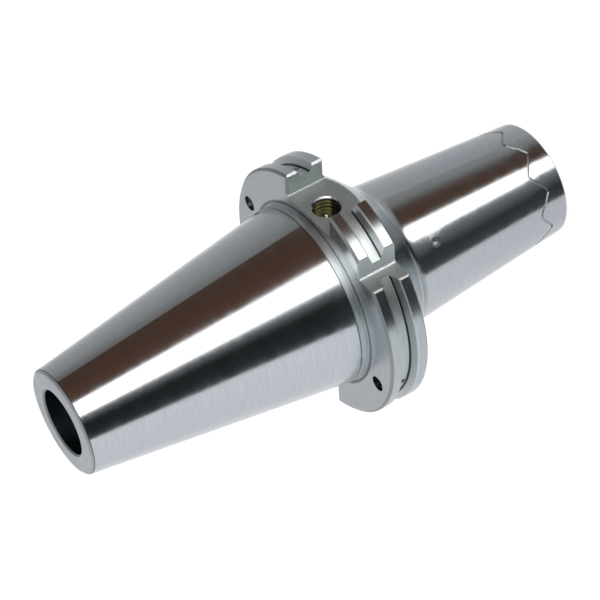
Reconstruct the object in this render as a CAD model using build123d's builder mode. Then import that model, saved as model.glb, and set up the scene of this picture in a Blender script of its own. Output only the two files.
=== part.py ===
from build123d import *
from math import cos, radians, sin, sqrt, tan
import os

# Shrink fit chuck with a size 50 steep taper, in millimetres.
# It stands on its nose face: origin at the centre of that face, +Z along the axis to the
# small end of the taper, +X through the middle of the drive-key slot that has the data bore.

# Spindle taper, 7 to 24 on diameter
projection = 102.5  # nose face to gauge plane
gauge_diameter = 69.85
taper_ratio = 7 / 24
taper_length = 101.75
small_end_chamfer = 0.8

# Flange and its gripper groove
flange_diameter = 97.5
flange_offset = 3.2  # gauge plane to the flange's back face
flange_thickness = 15.9
flange_back_chamfer = 0.9
flange_front_chamfer = 0.7
flange_root_fillet = 0.6
groove_offset = 11.1  # gauge plane to the middle of the groove
groove_depth = 3.125  # rim to the groove's floor
groove_floor_width = 3.5
groove_half_angle = 30

# Drive-key slots across the flange
slot_width = 25.7
data_slot_depth = 11.05  # rim to the floor of the slot with the data bore
plain_slot_depth = 13.25
slot_corner_fillet = 0.8
slot_edge_chamfer = 0.9

# Orientation notch
notch_angle = -45
notch_depth = 6.35  # rim to the notch's vertex
notch_edge_chamfer = 0.35
notch_vertex_fillet = 1

# Data-chip bore in the slot floor
data_bore_diameter = 10
data_bore_depth = 4.6
data_bore_mouth_diameter = 11

# Coolant channels: axial port, cross drilling, set screw and plug
channel_inset = 6.75  # rim to the middle of each port
channel_angle = 70
channel_count = 2
port_diameter = 6
cross_diameter = 3.2
set_screw_length = 4
set_screw_recess = 1
set_screw_socket = 3  # across flats
set_screw_socket_depth = 2
cross_plug_length = 2.4
cross_plug_recess = 0.8
plug_chamfer = 0.3

# Small blind hole in the floor of the gripper groove
pin_hole_angle = 25.5
pin_hole_diameter = 3.8
pin_hole_depth = 5

# Collar between flange and nose
collar_share = 0.8164  # of the flange's diameter, where the collar meets it
collar_draw = 2  # radial, over the collar's length
collar_length = 3.2
collar_cone_angle = 45
collar_root_fillet = 6

# Nose
nose_diameter = 44.5
nose_half_angle = 4.25
nose_edge_chamfer = 0.5

# Zigzag groove round the nose
zigzag_periods = 9
zigzag_peak_height = 7.2  # nose face to the middle of the line
zigzag_valley_height = 12.7
zigzag_phase = -18.4  # direction of one peak
zigzag_width = 0.9
zigzag_depth = 0.45
zigzag_corner_flat = 0.95  # each corner is two bends this far apart

# Grub screw in the nose
grub_hole_height = 59.15
grub_hole_angle = -50
grub_hole_diameter = 4
grub_hole_depth = 6
grub_screw_length = 4
grub_screw_recess = 0.3
grub_screw_socket = 2
grub_screw_socket_depth = 1.5

# Bores along the axis, from the nose face up
tool_bore_diameter = 25
tool_bore_length = 58
tool_mouth_chamfer = 1
undercut_diameter = 26
undercut_length = 4
stop_thread_bore = 15
stop_thread_length = 24
coolant_bore_diameter = 12
drawbar_depth = 61.5  # small end to the bottom of the thread
drawbar_thread_bore = 20.75
drill_point_half_angle = 59
locating_bore_diameter = 25
locating_bore_depth = 12
locating_mouth_chamfer = 0.6
thread_lead_in = 1

# Length stop screw
stop_screw_length = 20
stop_screw_setback = 2  # end of the tool bore to the screw's front face
stop_screw_clearance = 0.05
stop_screw_socket = 8
stop_screw_socket_depth = 9
stop_screw_hole_diameter = 5.5
stop_screw_chamfer = 0.8

screw_clearance = 0.04  # radial, of each small screw and plug in its hole
cut_margin = 1  # how far a cutting tool runs past the surface it opens

# Heights and radii that follow from the sizes above
gauge_z = projection
small_end_z = gauge_z + taper_length
back_z = gauge_z - flange_offset
front_z = back_z - flange_thickness
groove_z = gauge_z - groove_offset
flange_radius = flange_diameter / 2
groove_floor_radius = flange_radius - groove_depth
gauge_radius = gauge_diameter / 2
data_slot_floor = flange_radius - data_slot_depth
plain_slot_floor = flange_radius - plain_slot_depth
notch_vertex_radius = flange_radius - notch_depth
small_end_radius = gauge_radius - taper_length * taper_ratio / 2
nose_radius = nose_diameter / 2
nose_slope = tan(radians(nose_half_angle))
collar_slope = tan(radians(collar_cone_angle))
collar_cone_z = front_z - collar_length
collar_radius = flange_radius * collar_share
collar_cone_radius = collar_radius - collar_draw
root_z = (nose_radius - collar_cone_radius + collar_cone_z * collar_slope) / (collar_slope - nose_slope)
root_radius = nose_radius + root_z * nose_slope
channel_radius = flange_radius - channel_inset
channel_angles = [channel_angle + 360 / channel_count * i for i in range(channel_count)]
undercut_z = tool_bore_length + undercut_length
stop_thread_end_z = undercut_z + stop_thread_length
drawbar_end_z = small_end_z - drawbar_depth
drill_point_step = (drawbar_thread_bore - coolant_bore_diameter) / 2
drill_point_height = drill_point_step / tan(radians(drill_point_half_angle))
locating_floor_z = small_end_z - locating_bore_depth


def nose_surface_radius(height):
    """Radius of the tapered nose at a height above the nose face."""
    return nose_radius + height * nose_slope


def radial_plane(angle, height, radius=0):
    """Plane facing outward at an angle round the axis; its x axis points up the chuck."""
    outward = Vector(cos(radians(angle)), sin(radians(angle)), 0)
    return Plane(origin=outward * radius + Vector(0, 0, height), x_dir=(0, 0, 1), z_dir=outward)


def tangent_plane(angle, radius):
    """Plane facing outward at an angle round the axis; its y axis points up the chuck."""
    outward = Vector(cos(radians(angle)), sin(radians(angle)), 0)
    sideways = Vector(-sin(radians(angle)), cos(radians(angle)), 0)
    return Plane(origin=outward * radius, x_dir=sideways, z_dir=outward)


def nose_plane(angle, height):
    """Plane on the nose's surface, square to it."""
    tilt = radians(nose_half_angle)
    outward = Vector(cos(radians(angle)) * cos(tilt), sin(radians(angle)) * cos(tilt), -sin(tilt))
    surface = nose_surface_radius(height)
    foot = Vector(cos(radians(angle)) * surface, sin(radians(angle)) * surface, height)
    upward = Vector(cos(radians(angle)) * sin(tilt), sin(radians(angle)) * sin(tilt), cos(tilt))
    return Plane(origin=foot, x_dir=upward, z_dir=outward)


# Zigzag groove: one bent band for each peak and valley, pressed square into the nose
# and kept only within the groove's depth
zigzag_corners = 2 * zigzag_periods
zigzag_step = 360 / zigzag_corners
zigzag_outer = nose_surface_radius(zigzag_valley_height) + cut_margin
zigzag_middle = (zigzag_peak_height + zigzag_valley_height) / 2
zigzag_half_step = zigzag_outer * tan(radians(zigzag_step / 2))
zigzag_slope = (zigzag_valley_height - zigzag_peak_height) / 2 / zigzag_half_step
zigzag_reach = zigzag_width / 2 * sqrt(1 + zigzag_slope**2)  # half the width, up the chuck
zigzag_floor_low = zigzag_peak_height - zigzag_width * 2
zigzag_floor_high = zigzag_valley_height + zigzag_width * 2

with BuildPart() as zigzag_groove:
    for corner in range(zigzag_corners):
        tip_height = zigzag_valley_height if corner % 2 else zigzag_peak_height
        bend_height = tip_height + (zigzag_middle - tip_height) * zigzag_corner_flat / 2 / zigzag_half_step
        with BuildSketch(tangent_plane(zigzag_phase + corner * zigzag_step, zigzag_outer)):
            with BuildLine():
                Polyline(
                    (-zigzag_half_step, zigzag_middle - zigzag_reach),
                    (-zigzag_corner_flat / 2, bend_height - zigzag_reach),
                    (zigzag_corner_flat / 2, bend_height - zigzag_reach),
                    (zigzag_half_step, zigzag_middle - zigzag_reach),
                    (zigzag_half_step, zigzag_middle + zigzag_reach),
                    (zigzag_corner_flat / 2, bend_height + zigzag_reach),
                    (-zigzag_corner_flat / 2, bend_height + zigzag_reach),
                    (-zigzag_half_step, zigzag_middle + zigzag_reach),
                    close=True,
                )
            make_face()
        extrude(amount=-2 * cut_margin - zigzag_depth - zigzag_valley_height * nose_slope)
    with BuildSketch(Plane.XZ):
        with BuildLine():
            Polyline(
                (nose_surface_radius(zigzag_floor_low) - zigzag_depth, zigzag_floor_low),
                (zigzag_outer + cut_margin, zigzag_floor_low),
                (zigzag_outer + cut_margin, zigzag_floor_high),
                (nose_surface_radius(zigzag_floor_high) - zigzag_depth, zigzag_floor_high),
                close=True,
            )
        make_face()
    revolve(axis=Axis.Z, mode=Mode.INTERSECT)

with BuildPart() as chuck_body:
    # Turned outside, from the nose face to the small end
    with BuildSketch(Plane.XZ):
        with BuildLine():
            Polyline(
                (0, 0),
                (nose_radius - nose_edge_chamfer, 0),
                (nose_surface_radius(nose_edge_chamfer), nose_edge_chamfer),
                (root_radius, root_z),
                (collar_cone_radius, collar_cone_z),
                (collar_radius, front_z),
                (flange_radius - flange_front_chamfer, front_z),
                (flange_radius, front_z + flange_front_chamfer),
                (flange_radius, back_z - flange_back_chamfer),
                (flange_radius - flange_back_chamfer, back_z),
                (gauge_radius, back_z),
                (gauge_radius, gauge_z),
                (small_end_radius + small_end_chamfer * taper_ratio / 2, small_end_z - small_end_chamfer),
                (small_end_radius - small_end_chamfer, small_end_z),
                (0, small_end_z),
                close=True,
            )
        outside = make_face()
        fillet(outside.vertices().sort_by_distance((root_radius, root_z))[0], collar_root_fillet)
        fillet(outside.vertices().sort_by_distance((gauge_radius, back_z))[0], flange_root_fillet)
    revolve(axis=Axis.Z)

    # Gripper groove round the flange
    with BuildSketch(Plane.XZ):
        groove_reach = flange_radius + cut_margin
        groove_half_mouth = groove_floor_width / 2 + (groove_reach - groove_floor_radius) * tan(
            radians(groove_half_angle)
        )
        with BuildLine():
            Polyline(
                (groove_floor_radius, groove_z - groove_floor_width / 2),
                (groove_reach, groove_z - groove_half_mouth),
                (groove_reach, groove_z + groove_half_mouth),
                (groove_floor_radius, groove_z + groove_floor_width / 2),
                close=True,
            )
        make_face()
    revolve(axis=Axis.Z, mode=Mode.SUBTRACT)

    # Drive-key slots: the slot itself, chamfered at the rim, then the chamfers at both faces
    slot_half = slot_width / 2
    slot_reach = flange_radius + cut_margin
    rim_at_wall = sqrt(flange_radius**2 - slot_half**2)
    for slot_angle, slot_floor in ((0, data_slot_floor), (180, plain_slot_floor)):
        with BuildSketch(Plane.XY.offset(root_z).rotated((0, 0, slot_angle))):
            flare_start = rim_at_wall - slot_edge_chamfer
            flare_half = slot_half + slot_reach - flare_start
            with BuildLine():
                Polyline(
                    (slot_floor, -slot_half),
                    (flare_start, -slot_half),
                    (slot_reach, -flare_half),
                    (slot_reach, flare_half),
                    (flare_start, slot_half),
                    (slot_floor, slot_half),
                    close=True,
                )
            slot_face = make_face()
            fillet(slot_face.vertices().sort_by(Axis.X)[:2], slot_corner_fillet)
        extrude(amount=back_z + cut_margin - root_z, mode=Mode.SUBTRACT)
        with BuildSketch(tangent_plane(slot_angle, slot_floor + slot_corner_fillet)):
            for face_z, way in ((back_z, 1), (front_z, -1)):
                face_flare_half = slot_half + slot_edge_chamfer + cut_margin
                with BuildLine():
                    Polyline(
                        (-slot_half, face_z - way * slot_edge_chamfer),
                        (slot_half, face_z - way * slot_edge_chamfer),
                        (face_flare_half, face_z + way * cut_margin),
                        (-face_flare_half, face_z + way * cut_margin),
                        close=True,
                    )
                make_face()
        extrude(amount=slot_reach - slot_floor, mode=Mode.SUBTRACT)

    # Orientation notch, a right-angled vee, flared at the rim and at both faces
    notch_half = (sqrt(2 * flange_radius**2 - notch_vertex_radius**2) - notch_vertex_radius) / 2
    notch_wall = notch_half - notch_edge_chamfer
    notch_flare = notch_wall + (notch_edge_chamfer + cut_margin) * tan(radians(67.5))
    notch_reach = notch_vertex_radius + notch_half + cut_margin
    notch_cuts = (
        (Plane.XY.offset(front_z - cut_margin), flange_thickness + 2 * cut_margin, 0),
        (Plane.XY.offset(back_z - notch_edge_chamfer), notch_edge_chamfer + cut_margin, -45),
        (Plane.XY.offset(front_z + notch_edge_chamfer), -notch_edge_chamfer - cut_margin, -45),
    )
    for notch_plane, notch_amount, notch_taper in notch_cuts:
        with BuildSketch(notch_plane.rotated((0, 0, notch_angle))):
            with BuildLine():
                Polyline(
                    (notch_vertex_radius, 0),
                    (notch_vertex_radius + notch_wall, notch_wall),
                    (notch_reach, notch_flare),
                    (notch_reach, -notch_flare),
                    (notch_vertex_radius + notch_wall, -notch_wall),
                    close=True,
                )
            notch_face = make_face()
            fillet(notch_face.vertices().sort_by_distance((notch_vertex_radius, 0))[0], notch_vertex_fillet)
        extrude(amount=notch_amount, taper=notch_taper, mode=Mode.SUBTRACT)

    # Bores along the axis
    with BuildSketch(Plane.XZ):
        with BuildLine():
            Polyline(
                (0, -cut_margin),
                (tool_bore_diameter / 2 + tool_mouth_chamfer + cut_margin, -cut_margin),
                (tool_bore_diameter / 2, tool_mouth_chamfer),
                (tool_bore_diameter / 2, tool_bore_length),
                (undercut_diameter / 2, tool_bore_length),
                (undercut_diameter / 2, undercut_z),
                (stop_thread_bore / 2 + thread_lead_in, undercut_z),
                (stop_thread_bore / 2, undercut_z + thread_lead_in),
                (stop_thread_bore / 2, stop_thread_end_z),
                (coolant_bore_diameter / 2, stop_thread_end_z),
                (coolant_bore_diameter / 2, drawbar_end_z - drill_point_height),
                (drawbar_thread_bore / 2, drawbar_end_z),
                (drawbar_thread_bore / 2, locating_floor_z - thread_lead_in),
                (drawbar_thread_bore / 2 + thread_lead_in, locating_floor_z),
                (locating_bore_diameter / 2, locating_floor_z),
                (locating_bore_diameter / 2, small_end_z - locating_mouth_chamfer),
                (locating_bore_diameter / 2 + locating_mouth_chamfer + cut_margin, small_end_z + cut_margin),
                (0, small_end_z + cut_margin),
                close=True,
            )
        make_face()
    revolve(axis=Axis.Z, mode=Mode.SUBTRACT)

    # Coolant channels: ports down from the flange's back face, cross drillings to the middle
    with Locations(Plane.XY.offset(back_z)):
        with PolarLocations(channel_radius, channel_count, start_angle=channel_angle):
            Hole(port_diameter / 2, depth=back_z - groove_z)
    for angle in channel_angles:
        with BuildSketch(radial_plane(angle, groove_z)):
            Circle(cross_diameter / 2)
        extrude(amount=groove_floor_radius + cut_margin, mode=Mode.SUBTRACT)

    # Small blind hole in the groove floor
    with BuildSketch(radial_plane(pin_hole_angle, groove_z, groove_floor_radius - pin_hole_depth)):
        Circle(pin_hole_diameter / 2)
    extrude(amount=pin_hole_depth + cut_margin, mode=Mode.SUBTRACT)

    # Data-chip bore in the slot floor
    with Locations(radial_plane(0, groove_z, data_slot_floor)):
        CounterSinkHole(
            data_bore_diameter / 2,
            data_bore_mouth_diameter / 2,
            depth=data_bore_depth,
            counter_sink_angle=90,
        )

    # Tapped hole in the nose, zigzag groove
    with BuildSketch(nose_plane(grub_hole_angle, grub_hole_height).offset(-grub_hole_depth)):
        Circle(grub_hole_diameter / 2)
    extrude(amount=grub_hole_depth + cut_margin, mode=Mode.SUBTRACT)
    add(zigzag_groove.part, mode=Mode.SUBTRACT)
chuck_body.part.label = "chuck_body"
export_step(chuck_body.part, "parts/chuck_body.step")

# Length stop screw: runs in the thread behind the tool bore, coolant passes through it
stop_front_z = tool_bore_length + stop_screw_setback
stop_back_z = stop_front_z + stop_screw_length
stop_screw_radius = stop_thread_bore / 2 - stop_screw_clearance
with BuildPart() as length_stop_screw:
    with BuildSketch(Plane.XY.offset(stop_front_z)):
        Circle(stop_screw_radius)
    extrude(amount=stop_screw_length)
    chamfer(length_stop_screw.edges().filter_by(GeomType.CIRCLE), stop_screw_chamfer)
    with BuildSketch(Plane.XY.offset(stop_back_z - stop_screw_socket_depth)):
        RegularPolygon(stop_screw_socket / 2, 6, major_radius=False)
    extrude(amount=stop_screw_socket_depth + cut_margin, mode=Mode.SUBTRACT)
    with Locations(Plane.XY.offset(stop_front_z)):
        Cylinder(
            stop_screw_hole_diameter / 2,
            stop_screw_length,
            align=(Align.CENTER, Align.CENTER, Align.MIN),
            mode=Mode.SUBTRACT,
        )
length_stop_screw.part.label = "length_stop_screw"
export_step(length_stop_screw.part, "parts/length_stop_screw.step")


def socket_screw(plane, diameter, length, socket, socket_depth):
    """Headless screw with a hexagon socket, its outer end on a plane."""
    with BuildPart() as screw:
        with BuildSketch(plane):
            Circle(diameter / 2 - screw_clearance)
        extrude(amount=-length)
        chamfer(screw.faces().sort_by_distance(plane.origin)[0].edges(), plug_chamfer)
        with BuildSketch(plane.offset(-socket_depth)):
            RegularPolygon(socket / 2, 6, major_radius=False)
        extrude(amount=socket_depth + cut_margin, mode=Mode.SUBTRACT)
    return screw.part


# Coolant set screws, under the mouths of the two ports
for number, angle in enumerate(channel_angles, start=1):
    port_centre = Vector(cos(radians(angle)), sin(radians(angle)), 0) * channel_radius
    port_plane = Plane(origin=port_centre + Vector(0, 0, back_z - set_screw_recess), z_dir=(0, 0, 1))
    set_screw = socket_screw(
        port_plane, port_diameter, set_screw_length, set_screw_socket, set_screw_socket_depth
    )
    set_screw.label = f"coolant_set_screw_{number}"
    export_step(set_screw, f"parts/coolant_set_screw_{number}.step")

# Press-in plugs, at the outer ends of the two cross drillings
for number, angle in enumerate(channel_angles, start=1):
    with BuildPart() as cross_plug:
        with BuildSketch(radial_plane(angle, groove_z, groove_floor_radius - cross_plug_recess)):
            Circle(cross_diameter / 2 - screw_clearance)
        extrude(amount=-cross_plug_length)
        outer_edge = cross_plug.edges().filter_by(GeomType.CIRCLE).sort_by_distance((0, 0, groove_z))[-1]
        chamfer(outer_edge, plug_chamfer)
    cross_plug.part.label = f"cross_plug_{number}"
    export_step(cross_plug.part, f"parts/cross_plug_{number}.step")

# Grub screw in the nose
grub_plane = nose_plane(grub_hole_angle, grub_hole_height).offset(-grub_screw_recess)
nose_grub_screw = socket_screw(
    grub_plane, grub_hole_diameter, grub_screw_length, grub_screw_socket, grub_screw_socket_depth
)
nose_grub_screw.label = "nose_grub_screw"
export_step(nose_grub_screw, "parts/nose_grub_screw.step")
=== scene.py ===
"""Finish, drawbar thread, studio and camera for a size 50 steep-taper shrink fit chuck.

The chuck stands on its nose face, +Z along its axis to the small end of the taper.
"""

import math

import bmesh
import bpy
from mathutils import Matrix, Quaternion, Vector


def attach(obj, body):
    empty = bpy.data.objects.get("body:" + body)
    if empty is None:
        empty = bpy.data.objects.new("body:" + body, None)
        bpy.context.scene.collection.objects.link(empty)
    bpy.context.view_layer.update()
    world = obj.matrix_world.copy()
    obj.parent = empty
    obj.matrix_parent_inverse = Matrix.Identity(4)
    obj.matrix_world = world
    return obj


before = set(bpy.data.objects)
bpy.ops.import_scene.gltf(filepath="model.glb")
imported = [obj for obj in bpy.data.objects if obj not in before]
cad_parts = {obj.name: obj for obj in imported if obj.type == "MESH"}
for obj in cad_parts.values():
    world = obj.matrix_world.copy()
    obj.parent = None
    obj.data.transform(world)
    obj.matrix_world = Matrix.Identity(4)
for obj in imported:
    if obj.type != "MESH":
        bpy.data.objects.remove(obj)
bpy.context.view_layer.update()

bl_info = {
    "name": "Shrink fit chuck",
    "version": (1, 0, 0),
    "blender": (4, 5, 0),
    "location": "View3D > Sidebar > Chuck",
    "description": "Dresses a steep-taper shrink fit chuck and sets up its studio",
    "category": "Object",
}

# Heights above the nose face, in metres
ZIGZAG_Z = (0.006, 0.014)
NOSE_ROOT_Z = 0.0700
FRONT_Z = 0.0834
GROOVE_Z = 0.0914
BACK_Z = 0.0993
GAUGE_Z = 0.1025
SMALL_END_Z = 0.20425

# Turned forms, in metres
NOSE_RADIUS = 0.02225
NOSE_SLOPE = math.tan(math.radians(4.25))
ZIGZAG_DEPTH = 0.00045
FLANGE_RADIUS = 0.04875
GROOVE_FLOOR_RADIUS = 0.045625
GROOVE_FLOOR_HALF = 0.00175
GROOVE_MOUTH_HALF = 0.003555
ROOT_FILLET = 0.0006
GAUGE_RADIUS = 0.034925
SMALL_END_RADIUS = 0.0202
END_CHAMFER = 0.0008

# Bores, slots and ports, in metres
BORE_RADIUS = 0.0131
TOOL_MOUTH = 0.001
SEAT_RADIUS = 0.0125
SEAT_MOUTH = 0.0006
SLOT_HALF = 0.0129
PORT_X, PORT_Y = 0.01436, 0.03947
PORT_RADIUS = 0.003
DATA_BORE_RADIUS = 0.0056
DATA_BORE_X = (0.0325, 0.03776)

# How near counts as touching, and the widths of bands that part two finishes, in metres
TOUCH = 0.00005
SEAT_BAND = 0.0005
DATA_BORE_LIP = 0.001
RIM_BAND = 0.0012
BROKEN_EDGE_BAND = 0.0045

# Share of the zigzag groove's depth from which a facet is its floor
ZIGZAG_FLOOR_SHARE = 0.6

# Zones above the flange, each with the height from which it runs up, from the small end down
TAPER_ZONES = (
    (SMALL_END_Z - TOUCH, "end_face"),
    (SMALL_END_Z - END_CHAMFER + TOUCH, "end_edge"),
    (GAUGE_Z + TOUCH, "ground"),
    (BACK_Z + ROOT_FILLET, "neck"),
    (BACK_Z + TOUCH, "root_fillet_painted_highlight"),
)

# Cosines above which a facet counts as facing a direction
EXACTLY = 0.999
SQUARELY = 0.99
LEVEL = 0.95
MOSTLY = 0.9
PARTLY = 0.3

# How far a rim's chamfer may be from 45 degrees, as a cosine, and a slot wall from square, in degrees
CHAMFER_WITHIN = 0.05
SQUARE_WITHIN = 2

# Colour of the painted shade lines along corners
PAINTED_SHADE_LINE = (0.02, 0.022, 0.025)

# Painted lines along corners, dark ones for painted shade and the groove lip's light one for a painted
# highlight: radius, height and width in metres, strength, colour and roughness
GROOVE_CORNER_PAINTED_SHADE = (
    GROOVE_FLOOR_RADIUS + 0.0003, GROOVE_Z - GROOVE_FLOOR_HALF - 0.00015, 0.0007, 0.95, PAINTED_SHADE_LINE, 0.4
)
GROOVE_LIP_PAINTED_HIGHLIGHT = (FLANGE_RADIUS, GROOVE_Z - GROOVE_MOUTH_HALF, 0.0005, 0.9, (0.85, 0.87, 0.88), 0.6)
FLANGE_ROOT_PAINTED_SHADE = (GAUGE_RADIUS + 0.0010, BACK_Z, 0.0009, 0.7, PAINTED_SHADE_LINE, 0.3)
TAPER_END_PAINTED_SHADE = (GAUGE_RADIUS, GAUGE_Z, 0.00035, 0.75, PAINTED_SHADE_LINE, 0.4)
END_CORNER_PAINTED_SHADE = (SMALL_END_RADIUS, SMALL_END_Z - END_CHAMFER, 0.0003, 0.7, PAINTED_SHADE_LINE, 0.4)

# Share of a corner line's width that has its full strength
LINE_CORE = 0.4

# Depth of the finest tool marks, in metres
FINE_RELIEF = 0.00002

# Rings in the data bore: depth in metres, strength, and the height of the wave up to which they reach
RING_RELIEF = 0.0001
RING_STRENGTH = 0.6
RING_EDGE = -0.5

# Where noise mostly lies, and how far it shifts a turned tint and a milled roughness
NOISE_LOW, NOISE_HIGH = 0.3, 0.7
TINT_SPREAD = 0.06
MILLED_SPREAD = 0.2
MILLED_STRENGTH = 0.25

# A quarter of a turn, so that highlights stretch across the turning marks
ANISOTROPY_TURN = 0.25

# Depths in the data bore between which its inner tint, a yellowish painted reflection, gives way to the
# mouth's, in metres
MOUTH_TINT = (0.0022, 0.0012)

# Radius inside which turning marks no longer crowd together, in metres
MARKS_CENTRE = 0.001


class StudioSettings(bpy.types.PropertyGroup):
    """Camera, lamp and cards of the studio."""

    camera_distance: bpy.props.FloatProperty(
        name="Camera distance", description="From the camera's target", default=0.8671, unit="LENGTH"
    )
    camera_azimuth: bpy.props.FloatProperty(
        name="Camera azimuth", description="Round the axis from +X",
        default=math.radians(-40.08), subtype="ANGLE"
    )
    camera_elevation: bpy.props.FloatProperty(
        name="Camera elevation", description="Above the floor",
        default=math.radians(21.6), subtype="ANGLE"
    )
    camera_roll: bpy.props.FloatProperty(
        name="Camera roll", description="Turn about the line of sight",
        default=math.radians(-117.61), subtype="ANGLE"
    )
    camera_target: bpy.props.FloatVectorProperty(
        name="Camera target", description="Point at the middle of the picture",
        default=(-0.00026, -0.00031, 0.10504), subtype="TRANSLATION"
    )
    lens: bpy.props.FloatProperty(
        name="Lens", description="Focal length in millimetres", default=144.8, min=1.0
    )
    card_radius: bpy.props.FloatProperty(
        name="Card radius", description="From the axis to the studio's cards", default=1.5, unit="LENGTH"
    )
    ceiling_glow: bpy.props.FloatProperty(
        name="Ceiling glow", description="Brightness above the chuck, as steel mirrors it",
        default=0.25, min=0.0
    )
    ground_glow: bpy.props.FloatProperty(
        name="Ground glow", description="Brightness below the chuck, as steel mirrors it",
        default=0.01, min=0.0
    )
    softbox_azimuth: bpy.props.FloatProperty(
        name="Softbox azimuth", description="Round the axis from +X",
        default=math.radians(-30.7), subtype="ANGLE"
    )
    softbox_width: bpy.props.FloatProperty(
        name="Softbox width", description="Across the tall soft box", default=0.71, unit="LENGTH"
    )
    softbox_radiance: bpy.props.FloatProperty(
        name="Softbox brightness", description="Brightness of its cloth, where 1 is white",
        default=2.4, min=0.0
    )


class SteelSettings(bpy.types.PropertyGroup):
    """Colours and finish of the steel."""

    ground_color: bpy.props.FloatVectorProperty(
        name="Ground steel", description="Colour of the ground and turned steel",
        default=(0.56, 0.575, 0.59), min=0.0, max=1.0, subtype="COLOR"
    )
    milled_color: bpy.props.FloatVectorProperty(
        name="Milled steel", description="Colour of the milled slots and the notch",
        default=(0.53, 0.57, 0.57), min=0.0, max=1.0, subtype="COLOR"
    )
    # Near-black: real black oxide on the length stop screw, and painted shade on the second coolant screw in
    # its dark port
    black_oxide_and_shade_color: bpy.props.FloatVectorProperty(
        name="Black oxide", description="Colour of the blackened screws",
        default=(0.05, 0.05, 0.055), min=0.0, max=1.0, subtype="COLOR"
    )
    ground_roughness: bpy.props.FloatProperty(
        name="Ground roughness", description="Roughness of the ground taper and nose",
        default=0.2, min=0.0, max=1.0
    )
    turned_roughness: bpy.props.FloatProperty(
        name="Turned roughness", description="Roughness of the turned flange",
        default=0.3, min=0.0, max=1.0
    )
    ring_pitch: bpy.props.FloatProperty(
        name="Ring pitch", description="Spacing of the fine turning marks", default=0.00035, unit="LENGTH"
    )


class ThreadSettings(bpy.types.PropertyGroup):
    """Thread of the drawbar hole."""

    foot: bpy.props.FloatProperty(
        name="Foot", description="Height at which the thread starts", default=0.1442, unit="LENGTH"
    )
    top: bpy.props.FloatProperty(
        name="Top", description="Height at which the thread ends", default=0.1902, unit="LENGTH"
    )
    pitch: bpy.props.FloatProperty(
        name="Pitch", description="Height of one turn", default=0.003, min=0.0002, unit="LENGTH"
    )
    wall_radius: bpy.props.FloatProperty(
        name="Wall radius", description="Radius of the hole in which the thread runs",
        default=0.010375, unit="LENGTH"
    )
    ridge: bpy.props.FloatProperty(
        name="Ridge", description="How far the crest stands in from the wall",
        default=0.0003, unit="LENGTH"
    )
    sides: bpy.props.IntProperty(
        name="Sides", description="Facets to a turn", default=36, min=8
    )


def link(tree, source, target):
    """Joins an output socket to an input socket."""
    tree.links.new(source, target)


def add_node(tree, kind, **values):
    """A node with its settings, and its unlinked inputs by name."""
    node = tree.nodes.new(kind)
    inputs = values.pop("inputs", {})
    for name, value in values.items():
        setattr(node, name, value)
    for name, value in inputs.items():
        node.inputs[name].default_value = value
    return node


def math_node(tree, operation, *operands):
    """A Math node whose operands are sockets or numbers; returns its output."""
    node = add_node(tree, "ShaderNodeMath", operation=operation)
    for socket, operand in zip(node.inputs, operands):
        if isinstance(operand, (int, float)):
            socket.default_value = operand
        else:
            link(tree, operand, socket)
    return node.outputs[0]


def map_range(tree, value, low, high, to_low=0.0, to_high=1.0, **settings):
    """Maps a socket's value from low..high to another range, and returns the output."""
    limits = {"From Min": low, "From Max": high, "To Min": to_low, "To Max": to_high}
    node = add_node(tree, "ShaderNodeMapRange", inputs=limits, **settings)
    link(tree, value, node.inputs["Value"])
    return node.outputs["Result"]


def noise_range(tree, value, low, high):
    """Maps noise to low..high."""
    return map_range(tree, value, NOISE_LOW, NOISE_HIGH, low, high)


def mix_color(tree, factor, first, second):
    """Mixes two colours, each a socket or three numbers, and returns the output."""
    node = add_node(tree, "ShaderNodeMix", data_type="RGBA")
    link(tree, factor, node.inputs["Factor"])
    for name, color in (("A", first), ("B", second)):
        if isinstance(color, bpy.types.NodeSocket):
            link(tree, color, node.inputs[name])
        else:
            node.inputs[name].default_value = (*color, 1.0)
    return node.outputs["Result"]


def object_place(tree):
    """The x, y and z sockets of a point in the chuck's own frame."""
    place = add_node(tree, "ShaderNodeTexCoord")
    parts = add_node(tree, "ShaderNodeSeparateXYZ")
    link(tree, place.outputs["Object"], parts.inputs[0])
    return parts.outputs


def distance(tree, across, along):
    """The distance that two sockets at a right angle span."""
    squares = [math_node(tree, "MULTIPLY", side, side) for side in (across, along)]
    return math_node(tree, "SQRT", math_node(tree, "ADD", *squares))


def add_relief(tree, shader, height, strength, depth):
    """Raises and sinks a shader's surface by a height socket."""
    relief = add_node(tree, "ShaderNodeBump", inputs={"Strength": strength, "Distance": depth})
    link(tree, height, relief.inputs["Height"])
    link(tree, relief.outputs["Normal"], shader.inputs["Normal"])


def new_group(name, inputs, outputs):
    """An empty shader node group with float inputs and float outputs, and its two end nodes."""
    group = bpy.data.node_groups.new(name, "ShaderNodeTree")
    for socket_name, default in inputs:
        socket = group.interface.new_socket(socket_name, in_out="INPUT", socket_type="NodeSocketFloat")
        socket.default_value = default
    for socket_name in outputs:
        group.interface.new_socket(socket_name, in_out="OUTPUT", socket_type="NodeSocketFloat")
    return group, group.nodes.new("NodeGroupInput"), group.nodes.new("NodeGroupOutput")


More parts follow.
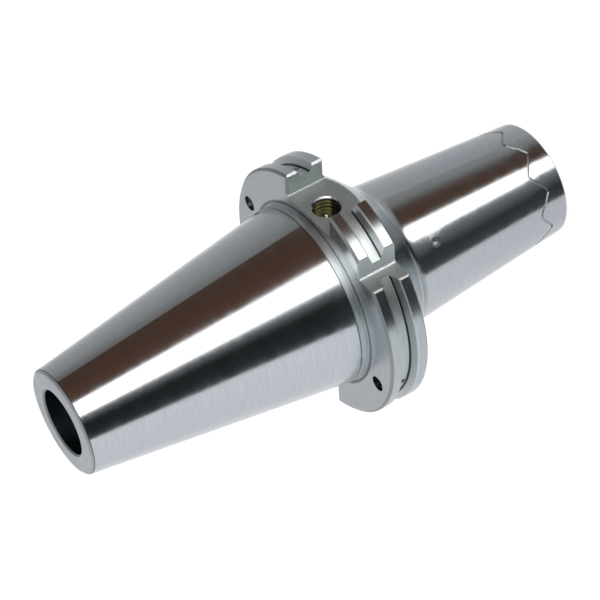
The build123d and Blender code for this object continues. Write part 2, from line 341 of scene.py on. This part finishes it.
def turning_marks_group():
    """Fine marks that run round the axis, on cylinders, cones and flat faces alike."""
    group, given, result = new_group(
        "turning_marks", (("Pitch", 0.00035), ("Length", 3.0)), ("Fine", "Broad")
    )
    x, y, z = object_place(group)
    radius = distance(group, x, y)
    safe = math_node(group, "MAXIMUM", radius, MARKS_CENTRE)
    turn = [
        math_node(group, "MULTIPLY", math_node(group, "DIVIDE", side, safe), given.outputs["Length"])
        for side in (x, y)
    ]
    across = math_node(group, "DIVIDE", math_node(group, "ADD", z, radius), given.outputs["Pitch"])
    for name, breadth, detail in (("Fine", 1.0, 4.0), ("Broad", 9.0, 2.0)):
        spot = add_node(group, "ShaderNodeCombineXYZ")
        for source, socket in zip((*turn, math_node(group, "DIVIDE", across, breadth)), spot.inputs):
            link(group, source, socket)
        noise = add_node(group, "ShaderNodeTexNoise",
                         inputs={"Scale": 1.0, "Detail": detail, "Roughness": 0.6})
        link(group, spot.outputs[0], noise.inputs["Vector"])
        link(group, noise.outputs["Fac"], result.inputs[name])
    return group


def cutter_marks_group():
    """Short crossed marks, as a milling cutter or a drill leaves them."""
    group, given, result = new_group("cutter_marks", (("Scale", 1400.0),), ("Grain",))
    place = add_node(group, "ShaderNodeTexCoord")
    noise = add_node(group, "ShaderNodeTexNoise", inputs={"Detail": 3.0, "Roughness": 0.6})
    link(group, place.outputs["Object"], noise.inputs["Vector"])
    link(group, given.outputs["Scale"], noise.inputs["Scale"])
    link(group, noise.outputs["Fac"], result.inputs["Grain"])
    return group


def painted_corner_line_group():
    """A mask for painted shade and highlight lines: a thin line round the axis at one radius and height, 1 on
    the line and 0 away from it.
    """
    group, given, result = new_group(
        "painted_corner_line", (("Radius", 0.03), ("Height", 0.1), ("Width", 0.0003)), ("Line",)
    )
    x, y, z = object_place(group)
    across = math_node(group, "SUBTRACT", distance(group, x, y), given.outputs["Radius"])
    along = math_node(group, "SUBTRACT", z, given.outputs["Height"])
    share = math_node(group, "DIVIDE", distance(group, across, along), given.outputs["Width"])
    line = map_range(group, share, LINE_CORE, 1.0, 1.0, 0.0, interpolation_type="SMOOTHSTEP")
    link(group, line, result.inputs["Line"])
    return group


def principled(name, color, roughness, **constants):
    """A metal with one Principled shader; returns it, its tree and the shader."""
    material = bpy.data.materials.new(name)
    material.use_nodes = True
    tree = material.node_tree
    shader = tree.nodes["Principled BSDF"]
    shader.inputs["Base Color"].default_value = (*color, 1.0)
    shader.inputs["Roughness"].default_value = roughness
    shader.inputs["Metallic"].default_value = 1.0
    for socket, value in constants.items():
        shader.inputs[socket].default_value = value
    return material, tree, shader


def ringed_steel(name, marks, shade, color, roughness, pitch, anisotropy, strength, spread, lines=()):
    """Turned or ground steel: marks round the axis in roughness, tint and relief, and lines at corners."""
    material, tree, shader = principled(
        name, color, roughness, **{"Anisotropic": anisotropy, "Anisotropic Rotation": ANISOTROPY_TURN}
    )
    rings = add_node(tree, "ShaderNodeGroup", node_tree=marks, inputs={"Pitch": pitch})
    rough = noise_range(tree, rings.outputs["Broad"], roughness * (1 - spread), roughness * (1 + spread))
    darker = [part * (1 - TINT_SPREAD) for part in color]
    lighter = [min(1.0, part * (1 + TINT_SPREAD)) for part in color]
    shown = mix_color(tree, noise_range(tree, rings.outputs["Fine"], 0.0, 1.0), darker, lighter)
    # Each corner line mixes its colour into the base colour: painted shade where dark, a painted highlight
    # where light
    for radius, height, width, amount, line_color, line_roughness in lines:
        line = add_node(tree, "ShaderNodeGroup", node_tree=shade,
                        inputs={"Radius": radius, "Height": height, "Width": width})
        share = math_node(tree, "MULTIPLY", line.outputs["Line"], amount)
        shown = mix_color(tree, share, shown, line_color)
        change = math_node(tree, "MULTIPLY", share, line_roughness - roughness)
        rough = math_node(tree, "ADD", rough, change)
    link(tree, rough, shader.inputs["Roughness"])
    link(tree, shown, shader.inputs["Base Color"])
    add_relief(tree, shader, rings.outputs["Fine"], strength, FINE_RELIEF)
    tangent = add_node(tree, "ShaderNodeTangent", direction_type="RADIAL", axis="Z")
    link(tree, tangent.outputs["Tangent"], shader.inputs["Tangent"])
    return material


def milled_steel(name, color, roughness):
    """Milled or drilled steel: short crossed tool marks in roughness and relief."""
    material, tree, shader = principled(name, color, roughness)
    marks = bpy.data.node_groups.get("cutter_marks") or cutter_marks_group()
    grain = add_node(tree, "ShaderNodeGroup", node_tree=marks).outputs["Grain"]
    rough = noise_range(tree, grain, roughness * (1 - MILLED_SPREAD), roughness * (1 + MILLED_SPREAD))
    link(tree, rough, shader.inputs["Roughness"])
    add_relief(tree, shader, grain, MILLED_STRENGTH, FINE_RELIEF)
    return material


def drilled_steel(name, mouth_color, deep_painted_reflection_color, ring_painted_shade_color, roughness, pitch):
    """Steel bored along X: one tint at the mouth, another further in that stands for a painted reflection,
    and thin dark rings between cuts, real relief with painted shade in their colour.
    """
    material, tree, shader = principled(name, mouth_color, roughness)
    along = object_place(tree)[0]
    at_mouth = map_range(tree, along, *(DATA_BORE_X[1] - depth for depth in MOUTH_TINT))
    tint = mix_color(tree, at_mouth, deep_painted_reflection_color, mouth_color)
    wave = math_node(tree, "SINE", math_node(tree, "MULTIPLY", along, 2 * math.pi / pitch))
    between_rings = map_range(tree, wave, -1.0, RING_EDGE)
    link(tree, mix_color(tree, between_rings, ring_painted_shade_color, tint), shader.inputs["Base Color"])
    add_relief(tree, shader, between_rings, RING_STRENGTH, RING_RELIEF)
    return material


def bore_zone(radius, height):
    """The zones inside the bores along the axis, painted darker further in as painted shade: the seat near
    the mouth less dark, the deep bore darkest.
    """
    if height > SMALL_END_Z - SEAT_MOUTH:
        return "rim_edge"
    return "deep_bore_painted_shade" if radius < SEAT_RADIUS - SEAT_BAND else "seat_painted_shade"


def nose_zone(radius, height, outward, upward):
    """The zones of the nose: its ground cone and face, and the walls and floor of the zigzag groove."""
    if ZIGZAG_Z[0] < height < ZIGZAG_Z[1] and outward > MOSTLY:
        sunk = NOSE_RADIUS + height * NOSE_SLOPE - radius
        return "nose_groove_floor" if sunk > ZIGZAG_DEPTH * ZIGZAG_FLOOR_SHARE else "ground"
    return "ground" if outward > MOSTLY or upward > MOSTLY else "nose_groove"


def in_data_bore(centre, normal):
    """Whether a facet belongs to the data-chip bore."""
    from_middle = math.hypot(centre.y, centre.z - GROOVE_Z)
    if not DATA_BORE_X[0] < centre.x < DATA_BORE_X[1] or from_middle > DATA_BORE_RADIUS:
        return False
    below_lip = abs(normal.x) < MOSTLY or centre.x < DATA_BORE_X[1] - DATA_BORE_LIP
    return below_lip and centre.z > FRONT_Z


def in_port(centre):
    """Whether a facet belongs to one of the two coolant ports."""
    from_port = min(math.hypot(centre.x - side * PORT_X, centre.y - side * PORT_Y) for side in (-1, 1))
    return from_port < PORT_RADIUS + TOUCH and FRONT_Z + TOUCH < centre.z < BACK_Z - TOUCH


def flange_zone(centre, normal, radius, outward):
    """The zones of the flange's rim, groove, faces and slot walls."""
    upward = abs(normal.z)
    in_groove = abs(centre.z - GROOVE_Z) < GROOVE_FLOOR_HALF + TOUCH
    if radius < FLANGE_RADIUS - TOUCH and outward > SQUARELY and in_groove:
        return "groove_floor"
    if upward > LEVEL or (upward > PARTLY and outward > PARTLY):
        if normal.z > LEVEL and centre.z > BACK_Z - TOUCH:
            return "back_face"
        at_rim = radius > FLANGE_RADIUS - RIM_BAND and abs(upward - math.sqrt(0.5)) < CHAMFER_WITHIN
        return "rim_edge" if at_rim else "turned"
    if outward > SQUARELY:
        return "turned"
    quarter_turns = math.atan2(normal.y, normal.x) / math.radians(90)
    square_to_slot = abs(quarter_turns - round(quarter_turns)) * 90 < SQUARE_WITHIN
    if square_to_slot or radius < GROOVE_FLOOR_RADIUS - BROKEN_EDGE_BAND:
        return "milled"
    # Chamfers near the rim, painted light as a painted highlight
    return "broken_edge_painted_highlight"


def body_zone(centre, normal):
    """Names the finish that a facet of the body has, from where it lies and how it faces."""
    radius = math.hypot(centre.x, centre.y)
    outward = 0.0
    if radius > 0:
        outward = (normal.x * centre.x + normal.y * centre.y) / radius
    if radius < BORE_RADIUS + TOOL_MOUTH and centre.z < TOOL_MOUTH and abs(normal.z) < LEVEL:
        return "rim_edge"
    if radius < BORE_RADIUS + TOUCH:
        return bore_zone(radius, centre.z)
    for foot, zone in TAPER_ZONES:
        if centre.z > foot:
            return zone
    if centre.z < NOSE_ROOT_Z:
        return nose_zone(radius, centre.z, outward, abs(normal.z))
    if in_data_bore(centre, normal):
        return "data_bore"
    if normal.x > EXACTLY and abs(centre.y) < SLOT_HALF and radius < GROOVE_FLOOR_RADIUS:
        return "slot_floor"
    if centre.z < FRONT_Z - TOUCH:
        return "collar" if outward > PARTLY else "milled"
    # The ports' walls take the deep bore's dark colour, painted shade in the holes
    if in_port(centre):
        return "deep_bore_painted_shade"
    return flange_zone(centre, normal, radius, outward)


def paint_body(body, materials):
    """Gives the body its finishes, facet by facet."""
    mesh = body.data
    mesh.materials.clear()
    order = list(materials)
    for zone in order:
        mesh.materials.append(materials[zone])
    for facet in mesh.polygons:
        facet.material_index = order.index(body_zone(facet.center, facet.normal))


def dress(node_name, material):
    """Gives a whole CAD node one material."""
    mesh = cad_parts[node_name].data
    mesh.materials.clear()
    mesh.materials.append(material)


# Heights of the studio cards' ends from the flange, in metres
CARD_FOOT = -2.2
CARD_TOP = 1.6

# Depth below the flange at which a leaning card's edges have their azimuths
LEAN_FOOT = 0.24

# Facets of a card: degrees to one across, rows up a wall card, and segments round a round card
CARD_STEP = 3
CARD_ROWS = 38
CARD_SEGMENTS = 48

# Heights from the flange, and the share of a card's glow there
EVEN = ((CARD_FOOT, 1.0), (CARD_TOP, 1.0))
SHADED_ENDS = ((CARD_FOOT, 0.4), (-1.25, 0.6), (-0.8, 0.95), (0.1, 1.0), (0.5, 0.8), (CARD_TOP, 0.7))
LIT_FOOT = ((CARD_FOOT, 2.4), (-0.9, 2.2), (-0.4, 1.0), (CARD_TOP, 1.0))
DIM_TOP = ((CARD_FOOT, 1.0), (-0.8, 1.0), (-0.3, 0.91), (CARD_TOP, 0.91))
DIM_FOOT = ((CARD_FOOT, 0.3), (-0.9, 0.4), (-0.3, 1.0), (CARD_TOP, 1.0))
SOFT_ENDS = ((CARD_FOOT, 0.5), (-1.25, 0.7), (-0.8, 1.0), (0.5, 1.0), (CARD_TOP, 0.9))
LOW_HALF = ((CARD_FOOT, 1.0), (-0.6, 1.0))

# Azimuths in degrees, and the glow at the rim of a round card
CEILING_RIM = ((-180.0, 0.6), (180.0, 0.6))
GROUND_RIM = ((-180.0, 0.6), (-105.0, 0.6), (-90.0, 0.01), (-25.0, 0.01), (0.0, 0.5), (180.0, 0.6))

COOL_WHITE = (0.9, 1.0, 1.05)

# Upright studio cards: name, both edges as azimuth, glow and lean, colour, levels
WALL_CARDS = (
    ("pale_wall", (-175.0, 0.88, 13.0), (-97.0, 0.98, 6.0), (0.95, 0.985, 1.03), SOFT_ENDS),
    ("dark_wall", (-97.0, 0.035, 6.0), (-62.0, 0.015, 0.0), (0.85, 1.0, 1.06), LIT_FOOT),
    ("dim_fringe", (-62.0, 0.015, 0.0), (-50.0, 0.17, 0.0), COOL_WHITE, EVEN),
    ("light_fringe", (-50.0, 0.17, 0.0), (-43.0, 0.9, 0.0), (1.0, 1.0, 1.0), DIM_FOOT),
    ("softbox_back", (-43.0, 0.9, 0.0), (-19.0, 0.2, 0.0), (1.0, 1.0, 1.0), EVEN),
    ("brown_wall", (-19.0, 0.12, 0.0), (33.0, 0.075, 23.0), (1.02, 0.56, 0.4), EVEN),
    ("shaded_gap", (33.0, 0.07, 23.0), (48.0, 0.33, 23.0), (1.0, 0.97, 0.92), EVEN),
    ("grey_wall", (48.0, 0.36, 23.0), (107.0, 0.6, 13.0), (0.94, 1.0, 1.05), DIM_TOP),
    ("light_side", (107.0, 0.6, 13.0), (131.0, 0.92, 13.0), (1.0, 1.0, 1.0), SHADED_ENDS),
    ("far_wall", (131.0, 0.92, 13.0), (185.0, 0.92, 13.0), (0.97, 0.99, 1.03), SHADED_ENDS),
)

# A card in front of the soft box's lower edge
LOW_FLAG = ("low_flag", (-75.0, 0.05, 0.0), (-48.2, 0.32, -8.0), COOL_WHITE, LOW_HALF)

# Shares of the card radius at which the flag and the soft box stand
FLAG_REACH = 0.93
SOFTBOX_REACH = 0.947

# The floor: half its width in metres, its glow and the grey that takes shadows
FLOOR_HALF = 3.0
FLOOR_GLOW = 0.85
FLOOR_GREY = (0.2, 0.2, 0.2, 1.0)

SENSOR_WIDTH = 36.0


def glowing(name, color):
    """A glowing material for a studio card; each corner of the card says how much it glows."""
    material = bpy.data.materials.new(name)
    material.use_nodes = True
    tree = material.node_tree
    tree.nodes.clear()
    amount = add_node(tree, "ShaderNodeAttribute", attribute_name="glow")
    glow = add_node(tree, "ShaderNodeEmission", inputs={"Color": (*color, 1.0)})
    output = add_node(tree, "ShaderNodeOutputMaterial")
    link(tree, amount.outputs["Fac"], glow.inputs["Strength"])
    link(tree, glow.outputs[0], output.inputs["Surface"])
    return material


def add_card(name, build, color):
    """Makes a studio card of a bmesh: seen in the steel, but not by the camera or the floor."""
    mesh = bpy.data.meshes.new(name)
    build.to_mesh(mesh)
    build.free()
    panel = bpy.data.objects.new(name, mesh)
    mesh.materials.append(glowing(name, color))
    bpy.context.scene.collection.objects.link(panel)
    panel.visible_camera = False
    panel.visible_diffuse = False
    panel.visible_shadow = False


def level_at(levels, place):
    """Reads a list of places and glows at a place between them."""
    for (low, glow_low), (high, glow_high) in zip(levels, levels[1:]):
        if place <= high:
            return glow_low + (glow_high - glow_low) * (place - low) / (high - low)
    return levels[-1][1]


def wall_card(name, start, end, color, levels, radius):
    """A curved upright card between two edges.

    Each edge has its azimuth, its glow and its lean, the degrees by which it shifts for each metre up.
    The glow also follows the levels, each a height from the flange and a share of the glow.
    """
    steps = max(2, math.ceil((end[0] - start[0]) / CARD_STEP))
    foot, top = levels[0][0], levels[-1][0]
    build = bmesh.new()
    glow = build.verts.layers.float.new("glow")
    previous = None
    for step in range(steps + 1):
        azimuth, amount, lean = (low + (high - low) * step / steps for low, high in zip(start, end))
        column = []
        for row in range(CARD_ROWS + 1):
            height = foot + (top - foot) * row / CARD_ROWS
            angle = math.radians(azimuth + lean * (height + LEAN_FOOT))
            place = (math.cos(angle) * radius, math.sin(angle) * radius, GROOVE_Z + height)
            corner = build.verts.new(place)
            corner[glow] = amount * level_at(levels, height)
            column.append(corner)
        if previous:
            for row in range(CARD_ROWS):
                build.faces.new((previous[row], column[row], column[row + 1], previous[row + 1]))
        previous = column
    add_card(name, build, color)


def round_card(name, height, radius, glow_middle, rim, color):
    """A level round card above or below the chuck.

    Its glow runs from the middle to the rim, where the rim list gives azimuths and their glow.
    """
    build = bmesh.new()
    glow = build.verts.layers.float.new("glow")
    bmesh.ops.create_circle(build, cap_ends=True, cap_tris=True, segments=CARD_SEGMENTS, radius=radius,
                            matrix=Matrix.Translation((0, 0, GROOVE_Z + height)))
    for corner in build.verts:
        out = math.hypot(corner.co.x, corner.co.y) / radius
        azimuth = math.degrees(math.atan2(corner.co.y, corner.co.x))
        corner[glow] = glow_middle + (level_at(rim, azimuth) - glow_middle) * out
    add_card(name, build, color)


class CHUCK_OT_stage(bpy.types.Operator):
    """Floor, background, studio cards, lamp and camera"""

    bl_idname = "chuck.stage"
    bl_label = "Stage"

    def execute(self, context):
        settings = context.scene.chuck_studio
        scene = context.scene
        radius = settings.card_radius
        scene.view_settings.view_transform = "Standard"
        self.make_floor(scene)
        self.make_world(scene)
        for card in WALL_CARDS:
            wall_card(*card, radius)
        wall_card(*LOW_FLAG, radius * FLAG_REACH)
        round_card("dark_ceiling", CARD_TOP, radius, settings.ceiling_glow, CEILING_RIM, COOL_WHITE)
        round_card("dark_ground", CARD_FOOT, radius, settings.ground_glow, GROUND_RIM, COOL_WHITE)
        self.make_softbox(scene, settings)
        self.make_camera(scene, settings)
        return {"FINISHED"}

    def make_floor(self, scene):
        """A pale floor just under the nose; it can be seen through from below."""
        mesh = bpy.data.meshes.new("floor")
        build = bmesh.new()
        bmesh.ops.create_grid(build, x_segments=1, y_segments=1, size=FLOOR_HALF)
        build.to_mesh(mesh)
        build.free()
        floor = bpy.data.objects.new("floor", mesh)
        scene.collection.objects.link(floor)
        floor.visible_glossy = False
        floor.location.z = -2 * TOUCH
        mesh.materials.append(self.floor_material())

    def floor_material(self):
        """Pale, with a shadow, from above, and clear from below."""
        material = bpy.data.materials.new("pale_floor")
        material.use_nodes = True
        tree = material.node_tree
        tree.nodes.clear()
        glow = add_node(tree, "ShaderNodeEmission", inputs={"Strength": FLOOR_GLOW})
        matt = add_node(tree, "ShaderNodeBsdfDiffuse", inputs={"Color": FLOOR_GREY})
        both = add_node(tree, "ShaderNodeAddShader")
        side = add_node(tree, "ShaderNodeNewGeometry")
        clear = add_node(tree, "ShaderNodeBsdfTransparent")
        seen = add_node(tree, "ShaderNodeMixShader")
        output = add_node(tree, "ShaderNodeOutputMaterial")
        link(tree, glow.outputs[0], both.inputs[0])
        link(tree, matt.outputs[0], both.inputs[1])
        link(tree, side.outputs["Backfacing"], seen.inputs[0])
        link(tree, both.outputs[0], seen.inputs[1])
        link(tree, clear.outputs[0], seen.inputs[2])
        link(tree, seen.outputs[0], output.inputs["Surface"])
        return material

    def make_softbox(self, scene, settings):
        """A tall upright soft box, as high as the cards."""
        tall = CARD_TOP - CARD_FOOT
        lamp = bpy.data.lights.new("softbox", "AREA")
        lamp.shape = "RECTANGLE"
        lamp.size = settings.softbox_width
        lamp.size_y = tall
        lamp.energy = settings.softbox_radiance * math.pi * settings.softbox_width * tall
        softbox = bpy.data.objects.new("softbox", lamp)
        scene.collection.objects.link(softbox)
        out = Vector((math.cos(settings.softbox_azimuth), math.sin(settings.softbox_azimuth), 0))
        softbox.location = out * settings.card_radius * SOFTBOX_REACH
        softbox.location.z = GROOVE_Z + (CARD_TOP + CARD_FOOT) / 2
        softbox.rotation_euler = out.to_track_quat("Z", "Y").to_euler()
        softbox.visible_camera = False

    def make_world(self, scene):
        """A white background."""
        world = bpy.data.worlds.new("studio")
        scene.world = world
        world.use_nodes = True
        tree = world.node_tree
        tree.nodes.clear()
        glow = add_node(tree, "ShaderNodeBackground", inputs={"Color": (1.0, 1.0, 1.0, 1.0), "Strength": 1.0})
        output = add_node(tree, "ShaderNodeOutputWorld")
        link(tree, glow.outputs[0], output.inputs["Surface"])

    def make_camera(self, scene, settings):
        """A camera on a sphere about its target, rolled about its line of sight."""
        camera = bpy.data.objects.new("camera", bpy.data.cameras.new("camera"))
        scene.collection.objects.link(camera)
        scene.camera = camera
        camera.data.lens = settings.lens
        camera.data.sensor_width = SENSOR_WIDTH
        flat = math.cos(settings.camera_elevation)
        back = Vector((
            flat * math.cos(settings.camera_azimuth),
            flat * math.sin(settings.camera_azimuth),
            math.sin(settings.camera_elevation),
        ))
        level = (-back).to_track_quat("-Z", "Y")
        camera.rotation_mode = "QUATERNION"
        camera.rotation_quaternion = level @ Quaternion((0, 0, 1), settings.camera_roll)
        camera.location = Vector(settings.camera_target) + back * settings.camera_distance


class CHUCK_OT_body(bpy.types.Operator):
    """Ground, turned, milled and drilled finishes of the body"""

    bl_idname = "chuck.body"
    bl_label = "Body"

    def execute(self, context):
        steel = context.scene.chuck_steel
        marks = turning_marks_group()
        shade = painted_corner_line_group()
        materials = {}
        for zone, (color, roughness, pitches, *rest) in self.ringed_finishes(steel).items():
            pitch = steel.ring_pitch * pitches
            materials[zone] = ringed_steel(f"{zone}_steel", marks, shade, color, roughness, pitch, *rest)
        for zone, (color, roughness) in self.milled_finishes(steel).items():
            materials[zone] = milled_steel(f"{zone}_steel", color, roughness)
        # The yellowish deep tint is a painted reflection, and the near-black rings are painted shade along
        # the steps
        materials["data_bore"] = drilled_steel(
            "data_bore_steel", mouth_color=(0.4, 0.4, 0.43), deep_painted_reflection_color=(0.42, 0.41, 0.26),
            ring_painted_shade_color=(0.04, 0.04, 0.03), roughness=0.2, pitch=0.0016
        )
        paint_body(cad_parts["chuck_body"], materials)
        return {"FINISHED"}

    def ringed_finishes(self, steel):
        """Finishes with marks round the axis.

        Each has its colour, its roughness, the spacing of its marks in ring pitches, its anisotropy, the
        strength of its relief, the spread of its roughness, and the lines at its corners.
        """
        ground, ground_rough = steel.ground_color, steel.ground_roughness
        turned = [part * share for part, share in zip(ground, (0.9, 0.93, 0.92))]
        return {
            "ground": (ground, ground_rough, 1.0, 0.75, 0.15, 0.15, (END_CORNER_PAINTED_SHADE, TAPER_END_PAINTED_SHADE)),
            "turned": (turned, steel.turned_roughness, 1.6, 0.8, 0.3, 0.2, (GROOVE_CORNER_PAINTED_SHADE, GROOVE_LIP_PAINTED_HIGHLIGHT)),
            "groove_floor": ((0.6, 0.64, 0.62), 0.5, 1.6, 0.6, 0.3, 0.2),
            "end_face": ((0.54, 0.57, 0.6), 0.34, 1.0, 0.3, 0.8, 0.2),
            "end_edge": (ground, 0.5, 1.0, 0.3, 0.3, 0.2, (END_CORNER_PAINTED_SHADE,)),
            "neck": ((0.74, 0.79, 0.78), 0.46, 1.0, 0.4, 0.4, 0.2, (TAPER_END_PAINTED_SHADE,)),
            # Much lighter than the ground steel: a painted highlight along the root fillet
            "root_fillet_painted_highlight": ((0.88, 0.91, 0.92), 0.45, 1.0, 0.3, 0.2, 0.1),
            "back_face": ((0.49, 0.52, 0.54), 0.24, 1.6, 0.5, 0.2, 0.2, (FLANGE_ROOT_PAINTED_SHADE,)),
            "rim_edge": ((0.38, 0.39, 0.39), 0.5, 1.0, 0.3, 0.2, 0.1),
            "collar": ((0.9, 0.93, 0.94), 0.2, 1.0, 0.4, 0.2, 0.2),
        }

    def milled_finishes(self, steel):
        """Milled and drilled finishes, each with its colour and roughness."""
        return {
            # Dark steel deep in the bores and ports, less dark at the seat near the mouth: painted shade
            "deep_bore_painted_shade": ((0.13, 0.145, 0.16), 0.3),
            "seat_painted_shade": ((0.24, 0.26, 0.28), 0.22),
            # The zigzag groove's walls are lighter than the milled steel, a painted highlight, and its floor
            # darker, painted shade in the groove
            "nose_groove": ((0.82, 0.84, 0.84), 0.3),
            "nose_groove_floor": ((0.42, 0.43, 0.44), 0.35),
            "milled": (steel.milled_color, 0.55),
            "slot_floor": ((0.5, 0.54, 0.53), 0.6),
            # Much lighter than the milled steel: a painted highlight on the chamfers
            "broken_edge_painted_highlight": ((0.85, 0.87, 0.86), 0.5),
        }


class CHUCK_OT_screws(bpy.types.Operator):
    """Finishes of the screws and plugs"""

    bl_idname = "chuck.screws"
    bl_label = "Screws and plugs"

    def execute(self, context):
        black = context.scene.chuck_steel.black_oxide_and_shade_color
        finishes = (
            ("bright_screw_steel", (0.62, 0.63, 0.64), 0.25, ("coolant_set_screw_1",)),
            ("dull_screw_steel", (0.42, 0.43, 0.44), 0.3, ("nose_grub_screw",)),
            # The second coolant screw, the same as the bright first one, is near-black as painted shade in
            # its port
            ("black_oxide_and_port_shade", black, 0.4, ("coolant_set_screw_2", "length_stop_screw")),
            # Nearly black: painted shade in the plugs' recesses
            ("plug_steel", (0.09, 0.092, 0.095), 0.35, ("cross_plug_1", "cross_plug_2")),
        )
        for name, color, roughness, node_names in finishes:
            material = milled_steel(name, color, roughness)
            for node_name in node_names:
                dress(node_name, material)
        return {"FINISHED"}


class CHUCK_OT_thread(bpy.types.Operator):
    """Thread of the drawbar hole"""

    bl_idname = "chuck.thread"
    bl_label = "Drawbar thread"

    def execute(self, context):
        thread = context.scene.chuck_thread
        mesh = bpy.data.meshes.new("drawbar_thread_ridge")
        build = self.wind_ridge(thread)
        build.to_mesh(mesh)
        build.free()
        mesh.materials.append(milled_steel("thread_steel", (0.3, 0.31, 0.32), 0.3))
        ridge = bpy.data.objects.new("drawbar_thread_ridge", mesh)
        context.scene.collection.objects.link(ridge)
        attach(ridge, "body")
        return {"FINISHED"}

    def wind_ridge(self, thread):
        """A closed ridge that winds up the hole's wall and runs out over a third of a turn at each end.

        Its profile has shares of the pitch along the axis, and of the ridge inward.
        """
        profile = ((-0.36, 0.0), (-0.08, 1.0), (0.08, 1.0), (0.36, 0.0))
        steps = round((thread.top - thread.foot) / thread.pitch * thread.sides)
        run_out = thread.sides / 3
        build = bmesh.new()
        previous = None
        for step in range(steps + 1):
            angle = 2 * math.pi * step / thread.sides
            height = thread.foot + thread.pitch * step / thread.sides
            rise = thread.ridge * min(1.0, step / run_out, (steps - step) / run_out)
            row = []
            for along, inward in profile:
                radius = thread.wall_radius + TOUCH - (rise + TOUCH) * inward
                place = (radius * math.cos(angle), radius * math.sin(angle), height + along * thread.pitch)
                row.append(build.verts.new(place))
            if previous:
                for index in range(len(row)):
                    after = (index + 1) % len(row)
                    build.faces.new((previous[index], previous[after], row[after], row[index]))
            else:
                build.faces.new(row)
            previous = row
        build.faces.new(reversed(previous))
        bmesh.ops.recalc_face_normals(build, faces=build.faces)
        return build


class CHUCK_PT_panel(bpy.types.Panel):
    """Lists the chuck's operators in the sidebar"""

    bl_idname = "CHUCK_PT_panel"
    bl_label = "Shrink fit chuck"
    bl_space_type = "VIEW_3D"
    bl_region_type = "UI"
    bl_category = "Chuck"

    def draw(self, context):
        for operator in OPERATORS:
            self.layout.operator(operator.bl_idname)


OPERATORS = (CHUCK_OT_stage, CHUCK_OT_body, CHUCK_OT_screws, CHUCK_OT_thread)
CLASSES = (StudioSettings, SteelSettings, ThreadSettings, *OPERATORS, CHUCK_PT_panel)


def register():
    for cls in CLASSES:
        bpy.utils.register_class(cls)
    bpy.types.Scene.chuck_studio = bpy.props.PointerProperty(type=StudioSettings)
    bpy.types.Scene.chuck_steel = bpy.props.PointerProperty(type=SteelSettings)
    bpy.types.Scene.chuck_thread = bpy.props.PointerProperty(type=ThreadSettings)


def unregister():
    del bpy.types.Scene.chuck_studio
    del bpy.types.Scene.chuck_steel
    del bpy.types.Scene.chuck_thread
    for cls in reversed(CLASSES):
        bpy.utils.unregister_class(cls)


def main():
    register()
    bpy.ops.chuck.stage()
    bpy.ops.chuck.body()
    bpy.ops.chuck.screws()
    bpy.ops.chuck.thread()


if __name__ == "__main__":
    main()
